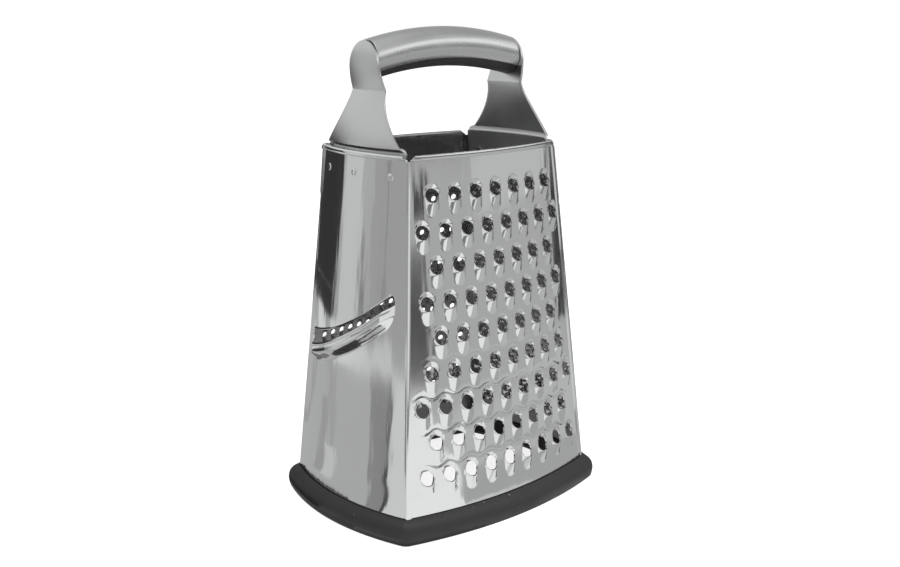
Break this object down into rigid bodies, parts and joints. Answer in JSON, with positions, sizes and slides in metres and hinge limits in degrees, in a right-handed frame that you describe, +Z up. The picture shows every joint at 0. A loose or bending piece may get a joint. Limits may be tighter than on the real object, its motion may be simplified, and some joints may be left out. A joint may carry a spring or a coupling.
{
  "type": "box grater",
  "caption": "Tapered four-sided steel box grater with bowed faces, coarse, medium, fine and slicing sides, an arched grip handle and a black rubber foot ring.",
  "frame": {"origin": "under the middle of the foot ring, on the surface that the grater stands on", "axes": "+Z up to the handle, +X to the fine face along the grip, -Y to the coarse face, -X to the slicing face"},
  "size_m": [0.1518, 0.1214, 0.24],
  "materials": {
    "polished_steel": "polished sheet",
    "satin_steel": "satin brushed",
    "rivet_steel": "polished",
    "grip_plastic": "matte",
    "foot_rubber": "matte"
  },
  "bodies": {
    "root": {"coarse_face": "polished_steel", "slicing_face": "polished_steel", "medium_face": "polished_steel", "fine_face": "polished_steel", "foot_ring": "foot_rubber", "left_leg": "satin_steel", "right_leg": "satin_steel", "grip_shell": "satin_steel", "grip_core": "grip_plastic", "left_rivet_1": "rivet_steel", "left_rivet_2": "rivet_steel", "left_rivet_3": "rivet_steel", "right_rivet_1": "rivet_steel", "right_rivet_2": "rivet_steel", "right_rivet_3": "rivet_steel"}
  },
  "joints": []
}
